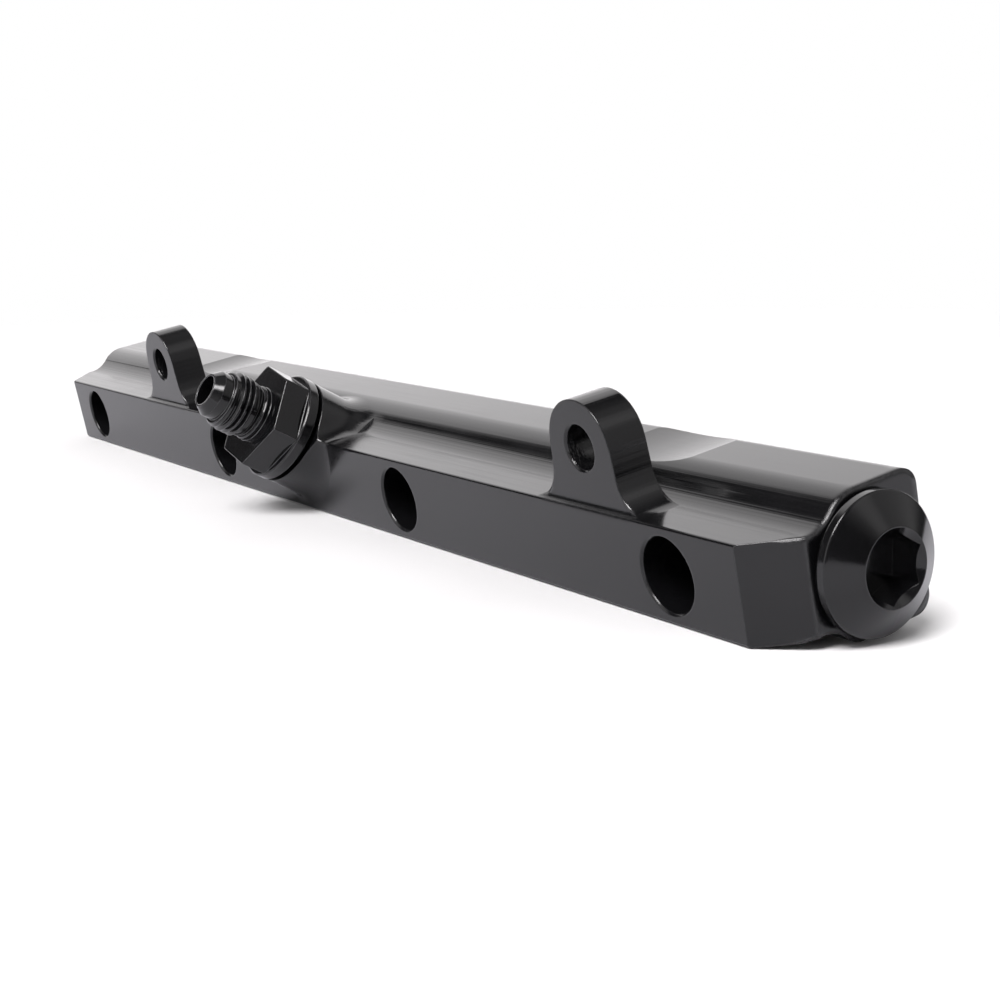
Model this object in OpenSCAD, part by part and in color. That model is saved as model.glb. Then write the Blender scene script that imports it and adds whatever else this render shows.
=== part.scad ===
// Billet fuel rail for a four-cylinder engine: a body with four injector bores in its
// front face, two mounting ears, a leaning inlet boss with its flare fitting, and a
// hex-socket plug that closes the gallery at one end.
//
// Frame: X along the rail towards the plug, Y from the front face into the rail, Z up.
// The origin is the middle of the first injector bore's mouth, on the front face.
// Lengths are millimetres, angles are degrees.

/* [Rail body] */
// Distance from one injector bore to the next
bore_pitch = 94; // [86:0.5:110]
// Number of injector bores
bore_count = 4; // [4:1:6]
// First bore's axis to the blind end
left_reach = 25; // [23:0.5:40]
// Last bore's axis to the plug end
right_reach = 27.5; // [25:0.5:40]
// Height of the front block, centred on the bores
front_h = 18; // [17.5:0.1:20]
// Side of the square rear block that holds the gallery
block = 26; // [25.2:0.1:28]
// Front face to rear face
body_depth = 33.4; // [33:0.1:38]
// Gallery axis above the bores' axes
gallery_rise = 0.9; // [0:0.1:1.2]
// Front face to the start of the upper slope's hollow
ledge_depth = 9; // [7:0.1:9.2]
// Front face to the middle of the lower slope's hollow
foot_depth = 9.2; // [8:0.1:11]
// Steepest angle of both slopes
slope_angle = 46; // [42:1:50]
// Straight stretch in the middle of a slope
slope_flat = 0.6; // [0.2:0.1:1.5]
// Hollow radius at the foot of both slopes
slope_foot_r = 7; // [6:0.1:7.4]
// Dip of the lower hollow into the underside
foot_dip = 0.65; // [0.2:0.05:0.9]
// Radius of the two rear edges
rear_r = 3.4; // [1:0.1:5]
// Legs of the upright chamfers at the front corners
end_chamfer = 8.1; // [2:0.1:10]
// Round on the front face's long edges
edge_r = 0.5; // [0.3:0.05:1]

/* [Injector bores and gallery] */
// Bore that takes an injector's sealing ring
bore_d = 14; // [11:0.1:14.6]
// Bore depth
bore_depth = 11.5; // [8:0.1:12]
// Chamfer at a bore's mouth
bore_chamfer = 0.4; // [0.2:0.05:0.7]
// Hole from a bore into the gallery
feed_d = 8; // [4:0.1:9]
// Gallery bore
gallery_d = 16; // [12:0.1:17]
// Metal left at the blind end of the gallery
gallery_wall = 12; // [6:0.5:20]

/* [Mounting ears] */
// Last bore back to the ear beside it
ear_inset = 22; // [21:0.5:30]
// Distance between the two ear holes
ear_spacing = 200.5; // [180:0.5:205]
// Ear hole above the bores' axes
ear_rise = 20; // [19:0.1:24]
// Radius of the ear's round top
ear_r = 9.1; // [8:0.1:10]
// Clearance hole for an M8 screw
ear_hole_d = 8.4; // [8.4:0.1:10]
// Thickness of an ear
ear_t = 8.3; // [6:0.1:9]
// Ear's front face behind the rail's front face
ear_set = 1.2; // [1:0.1:2]
// Lean of each ear side from upright
ear_taper = 6; // [0:0.5:8]
// Hollow radius from an ear's side to the ledge
ear_flare_r = 7; // [4:0.1:8]
// Hollow radius from an ear's front face to the ledge
ear_foot_r = 0.9; // [0.5:0.05:0.95]
// Width of the dished cut behind an ear
dish_w = 23; // [16:0.5:28]
// Depth of the dished cut
dish_depth = 0.95; // [0.5:0.05:1.5]
// Dished cut's middle to the left of the ear hole
dish_shift = 3.5; // [0:0.5:5]

/* [Inlet boss] */
// Boss axis tilt above level
boss_tilt = 39.5; // [35:0.5:45]
// Height where the boss axis crosses the front face
boss_rise = 9.8; // [9:0.1:11]
// Boss diameter
boss_d = 25.3; // [24:0.1:27]
// Boss face beyond that crossing, along the axis
boss_reach = 0.95; // [0.8:0.05:3]
// Hollow radius from the boss to the rail
boss_fillet = 5.6; // [3:0.1:6]
// Drilling from the port into the gallery
inlet_drill_d = 8.7; // [6:0.1:10]
// Where that drilling ends, from the front face's crossing
inlet_drill_reach = 22; // [20:0.5:24]

/* [Sealing port, cut twice] */
// Thread diameter of the port, 3/4 inch
port_d = 19.05; // [18:0.05:20]
// Port depth
port_depth = 14; // [12.5:0.5:16]
// Half angle of the sealing seat
seat_angle = 12; // [10:1:15]
// Air between a plain thread and its hole, on the radius
thread_gap = 0.05; // [0.02:0.01:0.1]
// Ring's own thickness
ring_t = 2.21; // [2:0.01:2.3]
// Air between a flange and the face under it, where the ring shows
ring_show = 1.05; // [0.8:0.05:1.2]
// Neck that the ring sits on
neck_d = 16.36; // [16:0.01:16.6]
// Length of a port thread on the plug and on the fitting
port_thread_l = 9; // [7:0.5:10]

/* [End plug] */
// Flange diameter
plug_flange_d = 24.8; // [23:0.1:25.4]
// Height of the flange's rim
plug_rim_t = 2.3; // [1.5:0.1:4]
// Chamfer under the flange
plug_under = 0.5; // [0.2:0.1:1]
// Height of the cone above the rim
plug_cone_h = 3.4; // [2:0.1:5]
// Diameter at the cone's top
plug_top_d = 13.7; // [13.5:0.1:16]
// Socket's width across its flats, 7/16 inch
socket_af = 11.11; // [8:0.01:11.2]
// Socket depth
socket_depth = 6.5; // [5:0.1:8]
// Turn of the socket about the gallery axis
socket_turn = 11.5; // [0:0.5:60]

/* [Inlet fitting] */
// Flange diameter
fitting_flange_d = 25.6; // [24.5:0.1:27]
// Flange thickness
fitting_flange_t = 2.8; // [2:0.1:4]
// Hexagon's width across its flats, 7/8 inch
hex_af = 22.2; // [21:0.1:23]
// Hexagon's height
hex_h = 6.4; // [5:0.1:8]
// Turn of the hexagon about the boss axis
hex_turn = 49.3; // [0:0.1:60]
// Collar in front of the hexagon
collar_d = 13.4; // [12.5:0.1:14.4]
// Collar height
collar_h = 1.4; // [0.5:0.1:2]
// Neck between the collar and the thread
relief_d = 11.9; // [11:0.1:12.4]
// Length of that neck
relief_l = 1; // [0.8:0.1:2]
// Hose thread diameter, 9/16 inch
hose_thread_d = 14.29; // [14:0.01:14.6]
// Length of the hose thread
hose_thread_l = 7.1; // [5:0.1:8.5]
// Nose diameter between the thread and the flare
nose_d = 11.2; // [10:0.1:12]
// Diameter at the flare's mouth
nose_mouth_d = 8.2; // [7.8:0.1:9.5]
// Half angle of the flare
flare_angle = 37; // [30:0.5:45]
// Hexagon's front face to the flare's mouth
nose_reach = 13.85; // [12.5:0.05:15]
// Through bore
fitting_bore_d = 7.2; // [5:0.1:7.4]

/* [Hidden] */
$fn = 64;
cut = 1;
// An amount by which a hollow radius dips under the face it runs into
sink = 0.02;
// Small chamfer on turned edges
rim = 0.3;
// Stations around the boss's blend, and steps across it
blend_turns = 72;
blend_steps = 10;
// How far the blend reaches into the metal
blend_root = 2.5;

last_x = (bore_count - 1) * bore_pitch;
left_x = -left_reach;
right_x = last_x + right_reach;
half_front = front_h / 2;
gallery_y = body_depth - block / 2;
top_z = gallery_rise + block / 2;
belly_z = gallery_rise - block / 2;
ledge_z = half_front;
foot_z = half_front - foot_dip;

slope_c = cos(slope_angle);
slope_s = sin(slope_angle);
head_r = head_radius(top_z - ledge_z);
head_y = ledge_depth + slope_run(head_r);
belly_r = head_radius(-belly_z - foot_z);

ear_x2 = last_x - ear_inset;
ear_x1 = ear_x2 - ear_spacing;
ear_back = ear_set + ear_t;
ear_mid_h = ear_rise - ledge_z;
flare_x = (ear_r + ear_flare_r + (ear_mid_h - ear_flare_r) * sin(ear_taper)) / cos(ear_taper);
dish_r = (pow(dish_w / 2, 2) + pow(dish_depth, 2)) / (2 * dish_depth);

inlet_x = (floor(bore_count / 2) - 0.5) * bore_pitch;
boss_r = boss_d / 2;
boss_root = boss_r * tan(boss_tilt) + 2;
ball_orbit = boss_r + boss_fillet;

thread_r = port_d / 2;
neck_r = neck_d / 2;
ring_r = ring_t / 2;
ring_mid_r = neck_r + ring_r;
ring_depth = ring_r - ring_show;

flange_s = boss_reach + ring_show;
hex_r = hex_af / 2 / cos(30);
hex_top = fitting_flange_t + hex_h;
collar_top = hex_top + collar_h;
thread_z = collar_top + relief_l;
thread_top = thread_z + hose_thread_l;
nose_top = hex_top + nose_reach;
flare_l = (nose_d - nose_mouth_d) / 2 / tan(flare_angle);

// Round at the head of a slope that climbs the given height
function head_radius(rise) = (rise - slope_flat * slope_s) / (1 - slope_c) - slope_foot_r;

// Level length of a whole slope with that round at its head
function slope_run(round_r) = (slope_foot_r + round_r) * slope_s + slope_flat * slope_c;

// Which node to build

// A section drawn with y to the right and z up, drawn out along X
module along_x(length) {
    rotate([90, 0, 90]) linear_extrude(length) children();
}

// A section drawn with x to the right and z up, drawn out along Y
module along_y(y0, y1) {
    translate([0, y1, 0]) rotate([90, 0, 0]) linear_extrude(y1 - y0) children();
}

// Local Z along the boss axis, pointing out of the rail
module on_boss() {
    translate([inlet_x, 0, boss_rise]) rotate([90 - boss_tilt, 0, 0]) children();
}

// Local Z along the gallery, pointing out of the plug end
module on_end() {
    translate([right_x, gallery_y, gallery_rise]) rotate([0, 90, 0]) children();
}

// Metal under one slope, from its hollow to the flat behind it
module slope_side(y, z, round_r) {
    foot = [y + slope_foot_r * slope_s, z + slope_foot_r * (1 - slope_c)];
    neck = foot + slope_flat * [slope_c, slope_s];
    middle = neck + round_r * [slope_s, -slope_c];
    head = middle + [0, round_r];
    corner = middle + round_r * [-tan(slope_angle / 2), 1];
    difference() {
        union() {
            polygon([
                [y, 0],
                [y, z],
                foot,
                neck,
                head,
                [body_depth - rear_r, head[1]],
                [body_depth - rear_r, 0]
            ]);
            intersection() {
                translate(middle) circle(round_r);
                polygon([neck, corner, head, middle]);
            }
        }
        translate([y, z + slope_foot_r]) circle(slope_foot_r);
    }
}

// Section across the rail: front block, slopes, square rear block
module rail_section() {
    difference() {
        union() {
            translate([edge_r, -half_front]) square([gallery_y, front_h]);
            translate([0, edge_r - half_front]) square([gallery_y, front_h - 2 * edge_r]);
            for (z = [edge_r - half_front, half_front - edge_r])
                translate([edge_r, z]) circle(edge_r);
            slope_side(ledge_depth, ledge_z, head_r);
            mirror([0, 1]) slope_side(foot_depth, foot_z, belly_r);
            translate([gallery_y, belly_z + rear_r])
                square([body_depth - gallery_y, block - 2 * rear_r]);
            for (z = [belly_z + rear_r, top_z - rear_r])
                translate([body_depth - rear_r, z]) circle(rear_r);
        }
        // the lower hollow runs on into the underside
        translate([foot_depth, -foot_z - slope_foot_r]) circle(slope_foot_r);
    }
}

// Outline of an ear, seen from the front
module ear_outline() {
    side_x = flare_x - ear_flare_r * cos(ear_taper);
    side_z = ledge_z + ear_flare_r - ear_flare_r * sin(ear_taper);
    shoulder_x = ear_r * cos(ear_taper);
    shoulder_z = ear_rise + ear_r * sin(ear_taper);
    difference() {
        union() {
            translate([0, ear_rise]) circle(ear_r);
            polygon([
                [-flare_x, 0],
                [-flare_x, ledge_z],
                [-side_x, side_z],
                [-shoulder_x, shoulder_z],
                [shoulder_x, shoulder_z],
                [side_x, side_z],
                [flare_x, ledge_z],
                [flare_x, 0]
            ]);
        }
        for (side = [-1, 1])
            translate([side * flare_x, ledge_z + ear_flare_r - sink]) circle(ear_flare_r);
    }
}

// Hollow rounding at the foot of an ear's front face
module ear_foot() {
    intersection() {
        along_y(0, ear_set + 0.3) ear_outline();
        translate([-flare_x - cut, 0, 0]) along_x(2 * flare_x + 2 * cut)
            difference() {
                polygon([
                    [ear_set - ear_foot_r, 0],
                    [ear_set + 0.3, 0],
                    [ear_set + 0.3, ledge_z + ear_foot_r],
                    [ear_set, ledge_z + ear_foot_r],
                    [ear_set - ear_foot_r, ledge_z]
                ]);
                translate([ear_set - ear_foot_r, ledge_z + ear_foot_r - sink])
                    circle(ear_foot_r);
            }
    }
}

module ear() {
    along_y(ear_set, ear_back) ear_outline();
    ear_foot();
}

// The leaning boss, from inside the rail to a little above its sealing face
module boss() {
    on_boss() translate([0, 0, -boss_root])
        cylinder(r = boss_r, h = boss_root + boss_reach + cut);
}

// The boss's blend is the gap left by a ball that rolls around the boss and touches the
// rail all the way. A point [y, z] beside the boss stands across([y, z]) from its axis,
// towards the rear, and along([y, z]) up that axis.
function across(p) = p[0] * sin(boss_tilt) + (p[1] - boss_rise) * cos(boss_tilt);
function along(p) = (p[1] - boss_rise) * sin(boss_tilt) - p[0] * cos(boss_tilt);

edge_mid = [edge_r, ledge_z - edge_r];
foot_mid = [ledge_depth, ledge_z + slope_foot_r];
head_mid = [head_y, top_z - head_r];
slope_start = foot_mid + slope_foot_r * [slope_s, -slope_c];

// Way out of the metal where the surface climbs at the given angle
function way_out(climb) = [-sin(climb), cos(climb)];

// Where the ball's middle stands when it touches a round; a hollow's radius is negative
function ball_at(middle, r, climb) = across(middle + (r + boss_fillet) * way_out(climb));

// Touching point and way out there, with the ball's middle h across the boss's axis
function on_flat(start, climb, h) =
    let(travel = (h - across(start + boss_fillet * way_out(climb))) / sin(climb + boss_tilt))
    [start + travel * [cos(climb), sin(climb)], way_out(climb)];
function on_round(middle, r, h) =
    let(climb = acos((h - across(middle)) / (r + boss_fillet)) - boss_tilt)
    [middle + r * way_out(climb), way_out(climb)];

// The same over the whole rail: front face, edge, ledge, hollow, slope, head and top
function on_rail(h) =
    h < ball_at(edge_mid, edge_r, 90) ? on_flat([0, 0], 90, h)
    : h < ball_at(edge_mid, edge_r, 0) ? on_round(edge_mid, edge_r, h)
    : h < ball_at(foot_mid, -slope_foot_r, 0) ? on_flat([0, ledge_z], 0, h)
    : h < ball_at(foot_mid, -slope_foot_r, slope_angle) ? on_round(foot_mid, -slope_foot_r, h)
    : h < ball_at(head_mid, head_r, slope_angle) ? on_flat(slope_start, slope_angle, h)
    : h < ball_at(head_mid, head_r, 0) ? on_round(head_mid, head_r, h)
    : on_flat([0, top_z], 0, h);

// One section of the blend, at a turn about the boss's axis: over the ball's hollow from
// the rail to the boss, then back through the metal of both
function blend_section(turn) =
    let(
        h = -ball_orbit * cos(turn),
        touch = on_rail(h),
        point = touch[0],
        middle = point + boss_fillet * touch[1],
        inner = point + blend_root * [1, -1],
        ball = [ball_orbit * sin(turn), h, along(middle)],
        to_rail = [0, across(point) - h, along(point) - along(middle)] / boss_fillet,
        to_boss = [-sin(turn), cos(turn), 0],
        sweep = acos(to_rail * to_boss)
    )
    [
        ball + (boss_fillet + sink) * to_rail,
        for (k = [1 : blend_steps - 1])
            ball + boss_fillet / sin(sweep) * (
                sin(sweep * (1 - k / blend_steps)) * to_rail
                + sin(sweep * k / blend_steps) * to_boss
            ),
        ball + (boss_fillet + sink) * to_boss,
        ball + (boss_fillet + blend_root) * to_boss,
        [-(boss_r - blend_root) * to_boss[0], -(boss_r - blend_root) * to_boss[1], sink - boss_root],
        [ball[0], across(inner), along(inner)]
    ];

// The boss's blend, kept to the front face and what lies above it
module boss_blend() {
    size = blend_steps + 4;
    count = blend_turns * size;
    points = [for (i = [0 : blend_turns - 1]) each blend_section(360 * i / blend_turns)];
    faces = [
        for (i = [0 : blend_turns - 1], j = [0 : size - 1])
            let(
                a = i * size + j,
                b = i * size + (j + 1) % size,
                c = (b + size) % count,
                d = (a + size) % count
            )
            each [[a, b, c], [a, c, d]]
    ];
    intersection() {
        on_boss() polyhedron(points, faces);
        translate([inlet_x - body_depth, -body_depth, edge_r - half_front])
            cube(2 * body_depth);
    }
}

// All that stands above the boss's face is cut away
module boss_face() {
    on_boss() translate([0, 0, boss_reach]) cylinder(r = ball_orbit + cut, h = ball_orbit);
}

// Radius of the sealing seat's mouth
seat_mouth = ring_mid_r + (ring_r + ring_depth * sin(seat_angle)) / cos(seat_angle);

// Port cut down from a face at local z 0
module port() {
    hole_r = thread_r + thread_gap;
    seat_l = (seat_mouth - hole_r) / tan(seat_angle);
    rotate_extrude()
        polygon([
            [0, cut],
            [seat_mouth, cut],
            [seat_mouth, 0],
            [hole_r, -seat_l],
            [hole_r, -port_depth],
            [0, -port_depth - hole_r / 2]
        ]);
}

// An injector bore from the front face, with its feed into the gallery
module injector_bore() {
    r = bore_d / 2;
    rotate([-90, 0, 0]) rotate_extrude()
        polygon([
            [0, -cut],
            [r + bore_chamfer + cut, -cut],
            [r, bore_chamfer],
            [r, bore_depth],
            [feed_d / 2, bore_depth],
            [feed_d / 2, gallery_y],
            [0, gallery_y]
        ]);
}

// An ear's hole with a small chamfer at each mouth
module ear_hole() {
    r = ear_hole_d / 2;
    rim = 0.4;
    rotate([-90, 0, 0]) rotate_extrude()
        polygon([
            [0, ear_set - cut],
            [r + rim + cut, ear_set - cut],
            [r, ear_set + rim],
            [r, ear_back - rim],
            [r + rim + cut, ear_back + cut],
            [0, ear_back + cut]
        ]);
}

module rail_body() {
    color([0.03, 0.03, 0.035])
    difference() {
        union() {
            translate([left_x, 0, 0]) along_x(right_x - left_x) rail_section();
            for (x = [ear_x1, ear_x2]) translate([x, 0, 0]) ear();
            boss();
            boss_blend();
        }
        boss_face();
        // upright chamfers at both front corners
        for (end = [[left_x, 1], [right_x, -1]])
            translate([end[0], 0, -block]) linear_extrude(2 * block)
                polygon([
                    [-end[1] * cut, -cut],
                    [end[1] * (end_chamfer + cut), -cut],
                    [-end[1] * cut, end_chamfer + cut]
                ]);
        // dished cuts behind the ears
        for (x = [ear_x1, ear_x2])
            translate([x - dish_shift, 0, top_z - dish_depth + dish_r])
                along_y(ear_back, body_depth + cut) circle(dish_r, $fn = 200);
        for (i = [0 : bore_count - 1])
            translate([i * bore_pitch, 0, 0]) injector_bore();
        for (x = [ear_x1, ear_x2])
            translate([x, 0, ear_rise]) ear_hole();
        // gallery, its port, and the inlet's port and drilling
        translate([left_x + gallery_wall, gallery_y, gallery_rise]) rotate([0, 90, 0])
            cylinder(d = gallery_d, h = right_x - left_x - gallery_wall - port_depth / 2);
        on_end() port();
        on_boss() translate([0, 0, boss_reach]) port();
        on_boss() translate([0, 0, -inlet_drill_reach])
            cylinder(d = inlet_drill_d, h = inlet_drill_reach);
    }
}

// Half outline of the threaded stem under a flange whose underside is at local z 0
function stem() = [
    [0, -ring_t - port_thread_l],
    [thread_r - 2 * rim, -ring_t - port_thread_l],
    [thread_r, 2 * rim - ring_t - port_thread_l],
    [thread_r, -ring_t - rim],
    [thread_r - rim, -ring_t],
    [neck_r, -ring_t],
    [neck_r, 0]
];

// Sealing ring under a flange
module o_ring() {
    translate([0, 0, -ring_r]) rotate_extrude() translate([ring_mid_r, 0]) circle(ring_r);
}

// Local Z 0 at the underside of the plug's flange
module on_plug() {
    on_end() translate([0, 0, ring_show]) children();
}

// Local Z 0 at the underside of the fitting's flange
module on_fitting() {
    on_boss() translate([0, 0, flange_s]) children();
}

module end_plug() {
    flange_r = plug_flange_d / 2;
    socket_r = socket_af / 2 / cos(30);
    mouth_h = socket_r - socket_af / 2 + 2 * rim;
    head_h = plug_rim_t + plug_cone_h;
    color([0.03, 0.03, 0.035])
    on_plug() difference() {
        rotate_extrude()
            polygon(concat(stem(), [
                [flange_r - plug_under, 0],
                [flange_r, plug_under],
                [flange_r, plug_rim_t - rim],
                [flange_r - rim, plug_rim_t],
                [plug_top_d / 2, head_h],
                [0, head_h]
            ]));
        rotate([0, 0, -socket_turn]) translate([0, 0, head_h - socket_depth])
            cylinder(r = socket_r, h = socket_depth + cut, $fn = 6);
        translate([0, 0, head_h - mouth_h])
            cylinder(r1 = socket_af / 2 - rim, r2 = socket_r + rim + cut, h = mouth_h + cut);
    }
}

module end_plug_o_ring() {
    color([0.02, 0.02, 0.02])
    on_plug() o_ring();
}

module inlet_o_ring() {
    color([0.02, 0.02, 0.02])
    on_fitting() o_ring();
}

// Hexagon of the fitting, its corners slightly turned down at both ends
module hexagon() {
    rear_corner = fitting_flange_d / 2 - 2 * rim;
    intersection() {
        rotate([0, 0, hex_turn]) translate([0, 0, fitting_flange_t - rim])
            cylinder(r = hex_r, h = hex_h + rim, $fn = 6);
        rotate_extrude()
            polygon([
                [0, 0],
                [rear_corner, 0],
                [rear_corner, fitting_flange_t],
                [hex_r + cut, fitting_flange_t + (hex_r + cut - rear_corner) / 2],
                [hex_r + cut, hex_top - (rim + cut) / 2],
                [hex_r - rim, hex_top],
                [0, hex_top]
            ]);
    }
}

module inlet_fitting() {
    flange_r = fitting_flange_d / 2;
    hose_r = hose_thread_d / 2;
    collar_r = collar_d / 2;
    relief_r = relief_d / 2;
    nose_r = nose_d / 2;
    color([0.03, 0.03, 0.035])
    on_fitting() difference() {
        union() {
            rotate_extrude()
                polygon(concat(stem(), [
                    [flange_r - rim, 0],
                    [flange_r, rim],
                    [flange_r, fitting_flange_t - rim],
                    [flange_r - rim, fitting_flange_t],
                    [collar_r, fitting_flange_t],
                    [collar_r, collar_top - rim],
                    [collar_r - rim, collar_top],
                    [relief_r, collar_top],
                    [relief_r, thread_z],
                    [hose_r - 2 * rim, thread_z],
                    [hose_r, thread_z + 2 * rim],
                    [hose_r, thread_top - 2 * rim],
                    [hose_r - 3 * rim, thread_top],
                    [nose_r, thread_top],
                    [nose_r, nose_top - flare_l],
                    [nose_mouth_d / 2, nose_top],
                    [0, nose_top]
                ]));
            hexagon();
        }
        translate([0, 0, -ring_t - port_thread_l - cut])
            cylinder(d = fitting_bore_d, h = nose_top + ring_t + port_thread_l + 2 * cut);
    }
}

rail_body();
end_plug();
end_plug_o_ring();
inlet_fitting();
inlet_o_ring();
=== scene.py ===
"""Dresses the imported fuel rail: near-black anodising with machining marks, rubber rings,
the hose thread's turns, and the studio of the photograph. Metres; the frame is the CAD's:
X along the rail towards the plug, Y from the front face into the rail, Z up."""

import math

import bmesh
import bpy
from mathutils import Matrix, Vector


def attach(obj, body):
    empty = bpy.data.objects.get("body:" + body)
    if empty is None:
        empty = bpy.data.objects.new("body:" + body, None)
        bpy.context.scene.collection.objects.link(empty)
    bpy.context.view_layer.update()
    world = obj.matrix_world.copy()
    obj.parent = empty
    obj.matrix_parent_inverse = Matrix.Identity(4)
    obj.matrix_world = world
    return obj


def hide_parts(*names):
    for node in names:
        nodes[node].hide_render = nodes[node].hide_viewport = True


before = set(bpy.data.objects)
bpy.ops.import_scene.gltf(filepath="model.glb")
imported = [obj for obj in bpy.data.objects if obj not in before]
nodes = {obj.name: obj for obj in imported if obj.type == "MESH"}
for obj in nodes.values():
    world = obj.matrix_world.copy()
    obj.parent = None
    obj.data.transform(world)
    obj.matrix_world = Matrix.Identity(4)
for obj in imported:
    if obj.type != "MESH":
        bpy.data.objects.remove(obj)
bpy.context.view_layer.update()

MM = 0.001

# The photograph's camera, solved from the rail's straight lines and round bores
CAMERA_PLACE = Vector((511.79, -162.76, 99.06)) * MM
CAMERA_TURN = Vector((1.7625, 0.8063, -0.8453))
CAMERA_LENS = 62.39
SENSOR_WIDTH = 36
CLIP_NEAR = 0.01
CLIP_FAR = 20

# The rail lies tipped on its front edge and its belly, so the floor leans in its frame
LEAN = math.radians(10.9)
FLOOR_POINT = Vector((142, 0.5, -9.2)) * MM
FLOOR_HALF = 3.0

# Hose fitting, as in the CAD source: its axis, then lengths from the flange's underside
INLET_X = 141 * MM
BOSS_TILT = math.radians(39.5)
BOSS_RISE = 9.8 * MM
FLANGE_OUT = 2.0 * MM
THREAD_FROM = 11.6 * MM
THREAD_TO = 18.7 * MM
THREAD_R = 7.145 * MM
THREAD_PITCH = 1.411 * MM
THREAD_DEPTH = 0.8 * MM
THREAD_ROOT = THREAD_R - THREAD_DEPTH

# Thread's ridge: half widths at its root and crest, its foot below the root, the share of
# its height that is left at its ends, the turns over which it grows to full height from
# there, and its steps in a turn
RIDGE_HALF = THREAD_PITCH * 0.47
CREST_HALF = THREAD_PITCH * 0.07
RIDGE_SINK = 0.1 * MM
RIDGE_END = 0.15
RIDGE_GROWTH = 0.6
RIDGE_STEPS = 72

# The CAD's plain thread is turned down to its root between these lengths, by a ring that
# is wider than the thread
ROOT_FROM = THREAD_FROM + 0.02 * MM
ROOT_TO = THREAD_TO - 0.25 * MM
RING_R = THREAD_R + 1 * MM
RING_STEPS = 96

# Meshes: points closer than this are one, and edges sharper than these stay sharp
WELD_GAP = 1e-7
FITTING_SMOOTH = math.radians(15)
THREAD_SMOOTH = math.radians(20)

# Ears of the body: the holes' places along the rail, their height and their radius
EAR_PLACES = (59.5 * MM, 260 * MM)
EAR_RISE = 20 * MM
EAR_HOLE_R = 4.2 * MM

# Gallery axis, round which the plug is turned
GALLERY = Vector((0, 20.4, 0.9)) * MM

# Rounding of the body's edges. A pair holds where a stretch starts and where it ends.
BODY_ROUND = 0.45 * MM
END_ROUND = 1.9 * MM
END_X = (305.5 * MM, 307.5 * MM)
# Cove round an ear's foot: its radius, half its length along the rail, its heights, and
# the lengths over which it fades along the rail and upright
COVE_ROUND = 1.2 * MM
COVE_HALF = 13 * MM
COVE_Z = (8.4 * MM, 10.8 * MM)
COVE_FADE_X = 2 * MM
COVE_FADE_Z = 0.8 * MM
# Where the boss runs out on the ledge: its place either side of the boss's middle, its
# radius, and the reach over which it fades
TAIL_ROUND = 3.5 * MM
TAIL_OUT = 15 * MM
TAIL_Y = 10 * MM
TAIL_Z = 9.8 * MM
TAIL_REACH = (4.5 * MM, 8 * MM)

# Rounding of the plug's edges, in its key socket and outside the socket's edge
SOCKET_ROUND = 0.06 * MM
PLUG_ROUND = 0.35 * MM
SOCKET_EDGE = (6.5 * MM, 6.8 * MM)

# Rounding of the fitting's edges and of the thread's crest
FITTING_ROUND = 0.4 * MM
THREAD_ROUND = 0.11 * MM
BEVEL_SAMPLES = 8

# Milling passes: their full height, and the share of it on the slope, on the ears' edges
# and in the ear holes, with what is left of the last one behind the holes' mouths
PASS_DEPTH = 0.08 * MM
SLOPE_SHARE = 0.5
EAR_SHARE = 0.4
CHATTER_SHARE = 6.0
CHATTER_LEFT = 0.12
# Slope's passes: the slope's angle, their spacing and sway, the heights where they set in
# at its foot and end at its top, its depths, and the length over which these fade
SLOPE = math.radians(46)
SLOPE_PITCH = 0.6 * MM
SLOPE_SWAY = 0.3 * MM
SLOPE_FOOT = (9.1 * MM, 9.5 * MM)
SLOPE_TOP = (11.4 * MM, 13.6 * MM)
SLOPE_Y = (11 * MM, 15.5 * MM)
SLOPE_FADE = 2.5 * MM
# Ears' passes: their depths with the fade, the heights where they set in, and how far
# forward a face may look to have them, as the cosine of its turn
EAR_Y = (1 * MM, 9.5 * MM)
EAR_FADE = 1 * MM
EAR_Z = (9.6 * MM, 11 * MM)
EAR_FORWARD = (0.3, 0.6)
# Chatter in the ear holes: the fade at their wall, and the depths where it weakens
HOLE_FADE = 0.1 * MM
CHATTER_Y = (2.2 * MM, 4 * MM)

# Grain of the textures, in features per metre along X, Y and Z or in all directions
STREAKS = (30, 2600, 2600)
SWAY = (25, 0, 0)
EAR_LINES = (1300, 25, 1300)
CHATTER = (1100, 1500, 1100)
WEAR_AND_HIGHLIGHT_PATCHES = 700.0
COATING_CLOUDS = 60.0
COATING_GRAIN = 7000.0
RUBBER_CLOUDS = 900.0
RUBBER_GRAIN = 9000.0
# Turned rings: how many in a metre away from a point on the axis, and the share of the
# way along the axis that is added to that distance
RINGS = 9000.0
RING_CLIMB = 0.7

# Black anodising: its colours from deep to thin, the swing of its roughness with the marks
# and with the clouds, the bump strengths of the marks and of the grain, and the height of
# its own grain
ANODISED_DEEP = (0.0024, 0.0024, 0.0027, 1)
ANODISED_THIN = (0.0042, 0.0042, 0.0048, 1)
COATING_IOR = 1.52
MARK_SWING = 0.25
CLOUD_SWING = (-0.015, 0.02)
MARK_STRENGTH = 0.35
GRAIN_STRENGTH = 0.3
COATING_RELIEF = 0.0015 * MM

# Worn edges, and on the thread's crests a painted highlight: the bare metal's colour, how
# far an edge turns the normal, as a cosine, and how much of the coating goes from patch to
# patch
BARE_METAL_AND_HIGHLIGHT = (0.3, 0.3, 0.31, 1)
WORN_AND_HIGHLIT_TURN = (0.9, 0.995)
WORN_AND_HIGHLIT_PATCHES = (0.3, 1.0)

# Rubber: its colours from clean to dusty, its roughness and the height of its grain
RUBBER_CLEAN = (0.003, 0.003, 0.003, 1)
RUBBER_DUSTY = (0.007, 0.007, 0.007, 1)
RUBBER_ROUGHNESS = (0.38, 0.52)
RUBBER_RELIEF = 0.01 * MM

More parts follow.
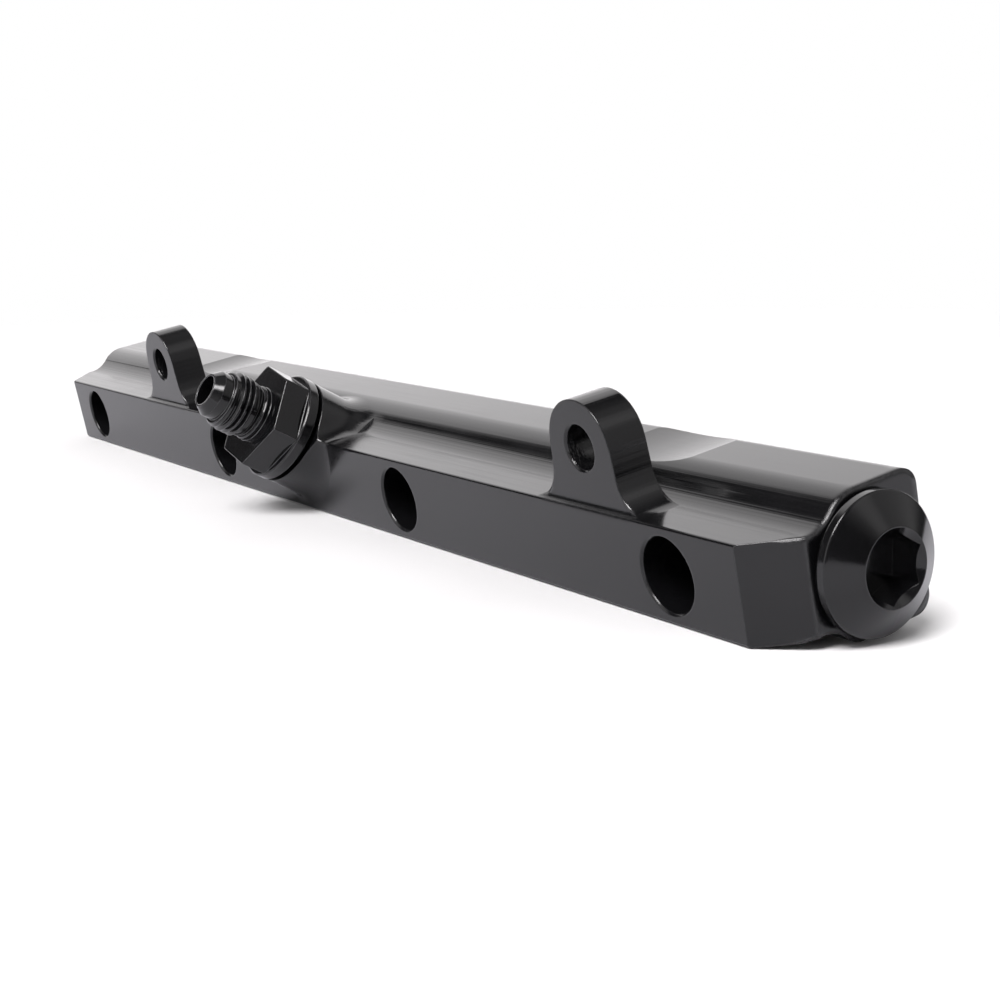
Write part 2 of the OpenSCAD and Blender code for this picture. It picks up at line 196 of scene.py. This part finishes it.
# Brightness of the studio. A source is azimuth, elevation, the radius of its full part, the
# radius where it ends, and its strength; 1 is white.
ROOM_LIGHT = 0.05
SOURCES = (
    (-60, 12, 36, 43, 1.4),
    (36, 20, 25, 50, 0.42),
    (55, 45, 8, 18, 0.4),
    (141, 62, 13, 17, 18.0),
    (180, 30, 26, 46, 0.9),
    (0, 82, 12, 32, 0.25),
)
SOURCE_HUE = (1.0, 0.98, 0.99, 1)
WHITE = (1, 1, 1, 1)
FILL_SIZE = 1.6
FILL_HEIGHT = 1.2
FILL_POWER = 0.6

# Floor: its shade for all but the camera, its shade for the camera and the lighter shade
# near the plug's end, a painted light that fades the shadow there, the stretch between
# these two, and the stretch where it fades into white
FLOOR_SHADE = (0.66, 0.66, 0.69, 1)
FLOOR_LIFT = 0.73
PLUG_END_PAINTED_LIGHT = 0.9
PAINTED_LIGHT_STRETCH = (0.1, 0.19)
FADE_STRETCH = (0.35, 0.7)

to_fitting = (
    Matrix.Translation((INLET_X, 0, BOSS_RISE))
    @ Matrix.Rotation(math.pi / 2 - BOSS_TILT, 4, "X")
    @ Matrix.Translation((0, 0, FLANGE_OUT))
)


def link(obj):
    bpy.context.scene.collection.objects.link(obj)
    return obj


def new_object(name, mesh):
    return link(bpy.data.objects.new(name, mesh))


# Node trees

def new_material(name):
    mat = bpy.data.materials.new(name)
    mat.use_nodes = True
    return mat


def add(tree, kind, inputs=None, **settings):
    """A new node; inputs are values, or sockets to link."""
    node = tree.nodes.new(kind)
    for key, value in settings.items():
        setattr(node, key, value)
    for key, value in (inputs or {}).items():
        if isinstance(value, bpy.types.NodeSocket):
            tree.links.new(value, node.inputs[key])
        else:
            node.inputs[key].default_value = value
    return node


def maths(tree, operation, a, b=0.0):
    return add(tree, "ShaderNodeMath", {0: a, 1: b}, operation=operation).outputs[0]


def vectors(tree, operation, a, b=None, out="Vector"):
    """Vector arithmetic on a, and on b where the operation takes two."""
    inputs = {0: a} if b is None else {0: a, 1: b}
    return add(tree, "ShaderNodeVectorMath", inputs, operation=operation).outputs[out]


def dot(tree, a, b):
    return vectors(tree, "DOT_PRODUCT", a, b, "Value")


def length(tree, vector):
    return vectors(tree, "LENGTH", vector, out="Value")


def blend(tree, share, first, second):
    """Colour between the first at a share of 0 and the second at 1."""
    return add(
        tree, "ShaderNodeMix", {"Factor": share, 6: first, 7: second}, data_type="RGBA"
    ).outputs[2]


def spread(tree, value, low, high):
    """A noise value of about 0.3 to 0.7, spread from low to high."""
    return add(
        tree,
        "ShaderNodeMapRange",
        {"Value": value, "From Min": 0.3, "From Max": 0.7, "To Min": low, "To Max": high},
    ).outputs[0]


def ramp(tree, value, low, high, start=0.0, end=1.0):
    """Smooth step from start to end as the value goes from low to high."""
    return add(
        tree,
        "ShaderNodeMapRange",
        {"Value": value, "From Min": low, "From Max": high, "To Min": start, "To Max": end},
        interpolation_type="SMOOTHSTEP",
    ).outputs[0]


def band(tree, value, low, high, soft):
    """1 between low and high, falling to 0 over the length soft outside them."""
    rise = ramp(tree, value, low - soft, low)
    fall = ramp(tree, value, high, high + soft, 1.0, 0.0)
    return maths(tree, "MULTIPLY", rise, fall)


def place(tree):
    """The point's place in metres, the same for each object that sits at the origin."""
    return add(tree, "ShaderNodeTexCoord").outputs["Object"]


def coordinates(tree):
    """Sockets X, Y and Z of the point's place."""
    return add(tree, "ShaderNodeSeparateXYZ", {0: place(tree)}).outputs


def stretched(tree, scale):
    return add(
        tree, "ShaderNodeMapping", {"Vector": place(tree), "Scale": scale}
    ).outputs[0]


def noise(tree, vector, scale, detail=2.0):
    return add(
        tree, "ShaderNodeTexNoise", {"Vector": vector, "Scale": scale, "Detail": detail}
    ).outputs[0]


def line_noise(tree, value, detail):
    """Noise along one value, as uneven lines about 1 apart."""
    return add(
        tree, "ShaderNodeTexNoise", {"W": value, "Scale": 1.0, "Detail": detail},
        noise_dimensions="1D",
    ).outputs[0]


def centred(tree, value):
    return maths(tree, "SUBTRACT", value, 0.5)


def bump(tree, height, strength, depth, normal=None):
    """Normal of a surface with this relief, depth in metres, on top of another normal."""
    inputs = {"Height": height, "Strength": strength, "Distance": depth}
    if normal is not None:
        inputs["Normal"] = normal
    return add(tree, "ShaderNodeBump", inputs).outputs[0]


# Machining marks

def along_rail(tree):
    """Fine streaks along the rail, as an end mill's edge leaves them."""
    return noise(tree, stretched(tree, STREAKS), 1.0, detail=3.0)


def step_over(tree):
    """Height of the ball-nose mill's passes along the slope."""
    spot = coordinates(tree)
    sway = maths(tree, "MULTIPLY", noise(tree, stretched(tree, SWAY), 1.0), SLOPE_SWAY)
    uphill = Vector((0, math.cos(SLOPE), math.sin(SLOPE)))
    travel = maths(tree, "ADD", dot(tree, place(tree), uphill), sway)
    passes = line_noise(tree, maths(tree, "DIVIDE", travel, SLOPE_PITCH), detail=2.0)
    height = maths(tree, "MULTIPLY", centred(tree, passes), SLOPE_SHARE)
    over_foot = ramp(tree, spot["Z"], *SLOPE_FOOT)
    under_top = ramp(tree, spot["Z"], *SLOPE_TOP, 1.0, 0.0)
    on_slope = maths(
        tree, "MULTIPLY",
        band(tree, spot["Y"], *SLOPE_Y, SLOPE_FADE),
        maths(tree, "MULTIPLY", over_foot, under_top),
    )
    return maths(tree, "MULTIPLY", height, on_slope)


def ear_passes(tree):
    """Height of the side mill's passes round the ears, as lines across their edge."""
    spot = coordinates(tree)
    lines = noise(tree, stretched(tree, EAR_LINES), 1.0)
    facing = add(tree, "ShaderNodeTexCoord").outputs["Normal"]
    forward = maths(tree, "ABSOLUTE", dot(tree, facing, Vector((0, 1, 0))))
    on_edge = ramp(tree, forward, *EAR_FORWARD, 1.0, 0.0)
    on_ear = maths(
        tree, "MULTIPLY",
        band(tree, spot["Y"], *EAR_Y, EAR_FADE),
        ramp(tree, spot["Z"], *EAR_Z),
    )
    height = maths(tree, "MULTIPLY", centred(tree, lines), EAR_SHARE)
    return maths(tree, "MULTIPLY", height, maths(tree, "MULTIPLY", on_ear, on_edge))


def chatter(tree):
    """Height of the drill's chatter inside the ear holes, strongest at their mouths."""
    grain = noise(tree, stretched(tree, CHATTER), 1.0)
    upright = vectors(tree, "MULTIPLY", place(tree), Vector((1, 0, 1)))
    inner = EAR_HOLE_R - HOLE_FADE
    outer = EAR_HOLE_R + HOLE_FADE
    in_holes = 0.0
    for x in EAR_PLACES:
        offset = vectors(tree, "SUBTRACT", upright, Vector((x, 0, EAR_RISE)))
        inside = ramp(tree, length(tree, offset), inner, outer, 1.0, 0.0)
        in_holes = maths(tree, "ADD", inside, in_holes)
    mouth = ramp(tree, coordinates(tree)["Y"], *CHATTER_Y, 1.0, CHATTER_LEFT)
    deep = maths(tree, "MULTIPLY", in_holes, mouth)
    height = maths(tree, "MULTIPLY", centred(tree, grain), deep)
    return maths(tree, "MULTIPLY", height, CHATTER_SHARE)


def body_passes(tree):
    """Height of the cutters' passes on the body's slope, its ears and in the ear holes."""
    milled = maths(tree, "ADD", step_over(tree), ear_passes(tree))
    return maths(tree, "ADD", milled, chatter(tree))


def round_axis(tree, point, axis):
    """Fine rings round an axis, as a lathe leaves them."""
    from_axis = vectors(tree, "SUBTRACT", place(tree), point)
    climb = maths(tree, "MULTIPLY", dot(tree, from_axis, axis.normalized()), RING_CLIMB)
    travel = maths(tree, "ADD", length(tree, from_axis), climb)
    return line_noise(tree, maths(tree, "MULTIPLY", travel, RINGS), detail=1.0)


def plug_rings(tree):
    return round_axis(tree, GALLERY, Vector((1, 0, 0)))


def fitting_rings(tree):
    return round_axis(tree, to_fitting.translation, to_fitting.col[2].to_3d())


# Rounding of edges

def body_rounding(tree):
    """Radius of the body's edges: wider at the plug end, round the ears' feet and where the
    boss runs out on the ledge."""
    spot = coordinates(tree)
    radius = ramp(tree, spot["X"], *END_X, BODY_ROUND, END_ROUND)
    low = band(tree, spot["Z"], *COVE_Z, COVE_FADE_Z)
    for x in EAR_PLACES:
        foot = band(tree, spot["X"], x - COVE_HALF, x + COVE_HALF, COVE_FADE_X)
        cove = maths(tree, "MULTIPLY", maths(tree, "MULTIPLY", foot, low), COVE_ROUND)
        radius = maths(tree, "MAXIMUM", radius, cove)
    for side in (-1, 1):
        tail = Vector((INLET_X + side * TAIL_OUT, TAIL_Y, TAIL_Z))
        reach = vectors(tree, "DISTANCE", place(tree), tail, "Value")
        near = ramp(tree, reach, *TAIL_REACH, TAIL_ROUND, 0.0)
        radius = maths(tree, "MAXIMUM", radius, near)
    return radius


def plug_rounding(tree):
    """Radius of the plug's edges: small inside the key socket."""
    from_axis = vectors(tree, "SUBTRACT", place(tree), GALLERY)
    across = vectors(tree, "MULTIPLY", from_axis, Vector((0, 1, 1)))
    return ramp(tree, length(tree, across), *SOCKET_EDGE, SOCKET_ROUND, PLUG_ROUND)


def worn_and_highlit_edges(tree, rounded, amount):
    """How far the coating is worn off, and on the thread how much painted highlight lies on
    its crests: only along edges, and in patches.
    """
    flat = add(tree, "ShaderNodeNewGeometry").outputs["Normal"]
    near_edge = ramp(tree, dot(tree, rounded, flat), *WORN_AND_HIGHLIT_TURN, 1.0, 0.0)
    patches = spread(tree, noise(tree, place(tree), WEAR_AND_HIGHLIGHT_PATCHES), *WORN_AND_HIGHLIT_PATCHES)
    return maths(tree, "MULTIPLY", maths(tree, "MULTIPLY", near_edge, patches), amount)


# Materials

def anodised(name, marks, roughness, mark_depth, edge, wear_and_highlight, passes=None):
    """Near-black anodised aluminium: glossy, with machining marks and broken edges. The
    edge is a radius, or a function that makes it."""
    mat = new_material(name)
    tree = mat.node_tree
    shader = tree.nodes["Principled BSDF"]
    lines = marks(tree)
    cloud = noise(tree, place(tree), COATING_CLOUDS)
    grain = noise(tree, place(tree), COATING_GRAIN)
    radius = edge(tree) if callable(edge) else edge
    bevel = add(tree, "ShaderNodeBevel", {"Radius": radius}, samples=BEVEL_SAMPLES)
    normal = bevel.outputs[0]
    coating = blend(tree, spread(tree, cloud, 0.0, 1.0), ANODISED_DEEP, ANODISED_THIN)
    # Bare metal along the edges: wear on the body, plug and fitting, and a painted
    # highlight on the thread's crests
    colour = blend(tree, worn_and_highlit_edges(tree, normal, wear_and_highlight), coating, BARE_METAL_AND_HIGHLIGHT)
    rough = maths(
        tree, "ADD",
        spread(tree, lines, roughness * (1 - MARK_SWING), roughness * (1 + MARK_SWING)),
        spread(tree, cloud, *CLOUD_SWING),
    )
    if passes:
        normal = bump(tree, passes(tree), 1.0, PASS_DEPTH, normal)
    normal = bump(tree, lines, MARK_STRENGTH, mark_depth, normal)
    normal = bump(tree, grain, GRAIN_STRENGTH, COATING_RELIEF, normal)
    shader.inputs["IOR"].default_value = COATING_IOR
    tree.links.new(colour, shader.inputs["Base Color"])
    tree.links.new(rough, shader.inputs["Roughness"])
    tree.links.new(normal, shader.inputs["Normal"])
    return mat


def rubber():
    """Black nitrile rubber, dull and slightly dusty."""
    mat = new_material("ring_rubber")
    tree = mat.node_tree
    shader = tree.nodes["Principled BSDF"]
    cloud = noise(tree, place(tree), RUBBER_CLOUDS)
    colour = blend(tree, spread(tree, cloud, 0.0, 1.0), RUBBER_CLEAN, RUBBER_DUSTY)
    rough = spread(tree, cloud, *RUBBER_ROUGHNESS)
    grain = noise(tree, place(tree), RUBBER_GRAIN)
    normal = bump(tree, grain, GRAIN_STRENGTH, RUBBER_RELIEF)
    tree.links.new(colour, shader.inputs["Base Color"])
    tree.links.new(rough, shader.inputs["Roughness"])
    tree.links.new(normal, shader.inputs["Normal"])
    return mat


def dress(obj, mat):
    """Gives an object one material in all its slots."""
    if not obj.data.materials:
        obj.data.materials.append(mat)
    for part in obj.material_slots:
        part.material = mat


# Hose thread

def finished_mesh(bm, name):
    """Mesh of an edited shape, with its faces turned outwards."""
    bmesh.ops.recalc_face_normals(bm, faces=bm.faces)
    mesh = bpy.data.meshes.new(name)
    bm.to_mesh(mesh)
    bm.free()
    return mesh


def section_loop(bm, angle, section):
    """Vertices of a section of (radius, z), turned by an angle about local Z."""
    return [bm.verts.new((r * math.cos(angle), r * math.sin(angle), z)) for r, z in section]


def bridge(bm, near, far):
    """Faces between two loops of the same size."""
    size = len(near)
    for j in range(size):
        k = (j + 1) % size
        bm.faces.new((near[j], far[j], far[k], near[k]))


def ring_mesh(name, section):
    """A closed ring round local Z from a closed section of (radius, z)."""
    bm = bmesh.new()
    angles = [2 * math.pi * i / RING_STEPS for i in range(RING_STEPS)]
    loops = [section_loop(bm, angle, section) for angle in angles]
    for i, near in enumerate(loops):
        bridge(bm, near, loops[(i + 1) % RING_STEPS])
    return finished_mesh(bm, name)


def thread_mesh(name):
    """The thread's ridge: a wedge swept round a helix, that starts and ends low."""
    travel = THREAD_TO - THREAD_FROM - 2 * RIDGE_HALF
    count = int(RIDGE_STEPS * travel / THREAD_PITCH)
    foot = THREAD_ROOT - RIDGE_SINK
    bm = bmesh.new()
    loops = []
    for i in range(count + 1):
        turn = i / RIDGE_STEPS
        z = THREAD_FROM + RIDGE_HALF + THREAD_PITCH * turn
        to_end = min(turn, count / RIDGE_STEPS - turn)
        share = min(1.0, RIDGE_END + (1 - RIDGE_END) * to_end / RIDGE_GROWTH)
        top = THREAD_ROOT + THREAD_DEPTH * share
        section = (
            (foot, z - RIDGE_HALF),
            (top, z - CREST_HALF),
            (top, z + CREST_HALF),
            (foot, z + RIDGE_HALF),
        )
        loops.append(section_loop(bm, 2 * math.pi * turn, section))
    for near, far in zip(loops, loops[1:]):
        bridge(bm, near, far)
    bm.faces.new(loops[0])
    bm.faces.new(reversed(loops[-1]))
    return finished_mesh(bm, name)


def smooth(mesh, angle):
    """Smooth shading up to an angle, without normals left over from an earlier shape."""
    if "custom_normal" in mesh.attributes:
        mesh.attributes.remove(mesh.attributes["custom_normal"])
    mesh.shade_smooth()
    mesh.set_sharp_from_angle(angle=angle)


def turned_fitting():
    """The CAD fitting with its plain thread turned down to the root."""
    blank = new_object("fitting_turned", nodes["inlet_fitting"].data.copy())
    section = [
        (THREAD_ROOT, ROOT_FROM),
        (RING_R, ROOT_FROM),
        (RING_R, ROOT_TO),
        (THREAD_ROOT, ROOT_TO),
    ]
    tool = new_object("thread_tool", ring_mesh("thread_tool", section))
    tool.matrix_world = to_fitting
    weld = blank.modifiers.new("weld", "WELD")
    weld.merge_threshold = WELD_GAP
    cut = blank.modifiers.new("cut", "BOOLEAN")
    cut.object = tool
    cut.operation = "DIFFERENCE"
    cut.solver = "EXACT"
    bpy.context.view_layer.update()
    shape = blank.evaluated_get(bpy.context.evaluated_depsgraph_get())
    turned = bpy.data.meshes.new_from_object(shape)
    blank.modifiers.clear()
    blank.data = turned
    bpy.data.objects.remove(tool)
    smooth(turned, FITTING_SMOOTH)
    return blank


def hose_fitting(mat, thread_mat):
    """The turned fitting and its thread's ridge, in place of the CAD fitting."""
    blank = turned_fitting()
    ridge = new_object("fitting_thread", thread_mesh("fitting_thread"))
    ridge.data.transform(to_fitting)
    smooth(ridge.data, THREAD_SMOOTH)
    dress(blank, mat)
    dress(ridge, thread_mat)
    for piece in (blank, ridge):
        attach(piece, "root")
    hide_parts("inlet_fitting")


# Camera, floor and light

def camera():
    """The photograph's camera; its solved turn takes the frame to right, down and ahead."""
    to_cam = Matrix.Rotation(CAMERA_TURN.length, 3, CAMERA_TURN.normalized())
    right, down, ahead = to_cam[0], to_cam[1], to_cam[2]
    cam = link(bpy.data.objects.new("camera", bpy.data.cameras.new("camera")))
    pose = Matrix((right, -down, -ahead)).transposed().to_4x4()
    pose.translation = CAMERA_PLACE
    cam.matrix_world = pose
    cam.data.sensor_width = SENSOR_WIDTH
    cam.data.lens = CAMERA_LENS
    cam.data.clip_start = CLIP_NEAR
    cam.data.clip_end = CLIP_FAR
    bpy.context.scene.camera = cam


def floor_material():
    """Pale board, brighter for the camera so that it reads white with the shadow kept, and
    for the camera lighter still towards the plug's end: a painted light that fades the
    shadow there. It runs out into the white background, and is clear from below."""
    mat = new_material("floor_board")
    tree = mat.node_tree
    tree.nodes.remove(tree.nodes["Principled BSDF"])
    seen = add(tree, "ShaderNodeLightPath").outputs["Is Camera Ray"]
    # For the camera the floor grows lighter towards the plug's end: a painted light
    lift_and_painted_light = ramp(tree, coordinates(tree)["X"], *PAINTED_LIGHT_STRETCH, FLOOR_LIFT, PLUG_END_PAINTED_LIGHT)
    shade = blend(tree, seen, FLOOR_SHADE, lift_and_painted_light)
    board = add(tree, "ShaderNodeBsdfDiffuse", {"Color": shade}).outputs[0]
    clear = add(tree, "ShaderNodeBsdfTransparent").outputs[0]
    below = add(tree, "ShaderNodeNewGeometry").outputs["Backfacing"]
    away = ramp(tree, length(tree, place(tree)), *FADE_STRETCH)
    unseen = maths(tree, "MAXIMUM", below, maths(tree, "MULTIPLY", seen, away))
    both = add(tree, "ShaderNodeMixShader", {0: unseen, 1: board, 2: clear}).outputs[0]
    tree.links.new(both, tree.nodes["Material Output"].inputs["Surface"])
    return mat


def floor():
    """The leaning square that the rail lies on."""
    half = FLOOR_HALF
    mesh = bpy.data.meshes.new("floor")
    corners = [(-half, -half, 0), (half, -half, 0), (half, half, 0), (-half, half, 0)]
    mesh.from_pydata(corners, [], [(0, 1, 2, 3)])
    obj = new_object("floor", mesh)
    obj.matrix_world = Matrix.Translation(FLOOR_POINT) @ Matrix.Rotation(-LEAN, 4, "X")
    obj.data.materials.append(floor_material())


def heading(azimuth, elevation):
    """Unit vector; azimuth 0 is +Y and 90 is +X, in degrees."""
    a = math.radians(azimuth)
    e = math.radians(elevation)
    return Vector((math.sin(a) * math.cos(e), math.cos(a) * math.cos(e), math.sin(e)))


def studio():
    """A dark room with soft white sources. The camera sees it white."""
    world = bpy.data.worlds.new("studio")
    bpy.context.scene.world = world
    world.use_nodes = True
    tree = world.node_tree
    look = add(tree, "ShaderNodeTexCoord").outputs["Generated"]
    total = ROOM_LIGHT
    for azimuth, elevation, inner, outer, strength in SOURCES:
        facing = dot(tree, look, heading(azimuth, elevation))
        dark_from = math.cos(math.radians(outer))
        full_from = math.cos(math.radians(inner))
        glow = ramp(tree, facing, dark_from, full_from, 0.0, strength)
        total = maths(tree, "ADD", glow, total)
    seen = add(tree, "ShaderNodeLightPath").outputs["Is Camera Ray"]
    level = add(tree, "ShaderNodeMix", {"Factor": seen, 2: total, 3: 1.0}).outputs[0]
    hue = blend(tree, seen, SOURCE_HUE, WHITE)
    tree.links.new(level, tree.nodes["Background"].inputs["Strength"])
    tree.links.new(hue, tree.nodes["Background"].inputs["Color"])


def fill_light():
    """A wide soft light from above that leaves no mirror image in the anodising."""
    lamp = bpy.data.lights.new("fill", "AREA")
    lamp.shape = "SQUARE"
    lamp.size = FILL_SIZE
    lamp.energy = FILL_POWER
    obj = link(bpy.data.objects.new("fill", lamp))
    obj.location = FLOOR_POINT + Vector((0, 0, FILL_HEIGHT))
    obj.visible_glossy = False
    obj.visible_camera = False


camera()
body_finish = anodised(
    "body_anodising", along_rail, roughness=0.15, mark_depth=0.004 * MM,
    edge=body_rounding, wear_and_highlight=0.1, passes=body_passes,
)
plug_finish = anodised(
    "plug_anodising", plug_rings, roughness=0.14, mark_depth=0.003 * MM,
    edge=plug_rounding, wear_and_highlight=0.03,
)
fitting_finish = anodised(
    "fitting_anodising", fitting_rings, roughness=0.12, mark_depth=0.003 * MM,
    edge=FITTING_ROUND, wear_and_highlight=0.3,
)
# Bare metal over nearly all of the thread's crests: a painted highlight
thread_finish = anodised(
    "thread_anodising", fitting_rings, roughness=0.12, mark_depth=0.002 * MM,
    edge=THREAD_ROUND, wear_and_highlight=0.9,
)
ring_finish = rubber()
dress(nodes["rail_body"], body_finish)
dress(nodes["end_plug"], plug_finish)
dress(nodes["end_plug_o_ring"], ring_finish)
dress(nodes["inlet_o_ring"], ring_finish)
hose_fitting(fitting_finish, thread_finish)
floor()
studio()
fill_light()
bpy.context.scene.view_settings.view_transform = "Standard"
